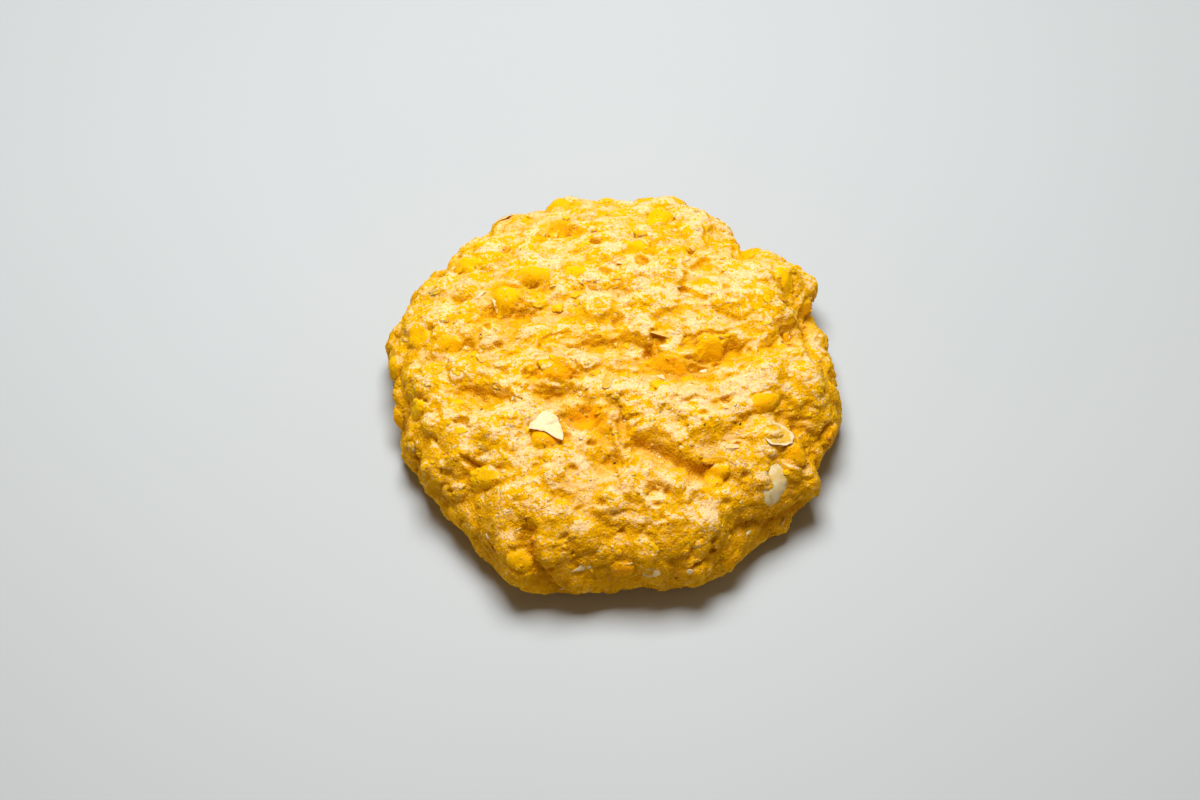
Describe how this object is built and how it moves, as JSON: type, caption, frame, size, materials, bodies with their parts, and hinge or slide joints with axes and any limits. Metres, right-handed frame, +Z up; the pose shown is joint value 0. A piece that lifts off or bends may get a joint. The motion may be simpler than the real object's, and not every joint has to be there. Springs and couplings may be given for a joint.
{
  "type": "corn tamale cake",
  "caption": "Round hand-patted patty of uncooked corn dough with whole and crushed sweetcorn kernels and pale skins in it, lumpy and cracked, resting on a flat underside.",
  "frame": {"origin": "middle of the flat underside, which is the middle of the bounding box in X and Y and its lowest level", "axes": "+Z up through the thickness; -Y towards the front side that faces the viewer, +X to the right as seen from the front"},
  "size_m": [0.0971, 0.0968, 0.0256],
  "materials": {
    "dough": "moist, grainy corn dough, matte with a faint wet gloss",
    "corn": "wet sweetcorn flesh, smooth and slightly translucent, satin",
    "skin": "thin pale kernel skin, translucent, satin",
    "speck": "dark brown kernel tips and spice specks, matte"
  },
  "bodies": {
    "root": {"cake": "dough"}
  },
  "joints": []
}
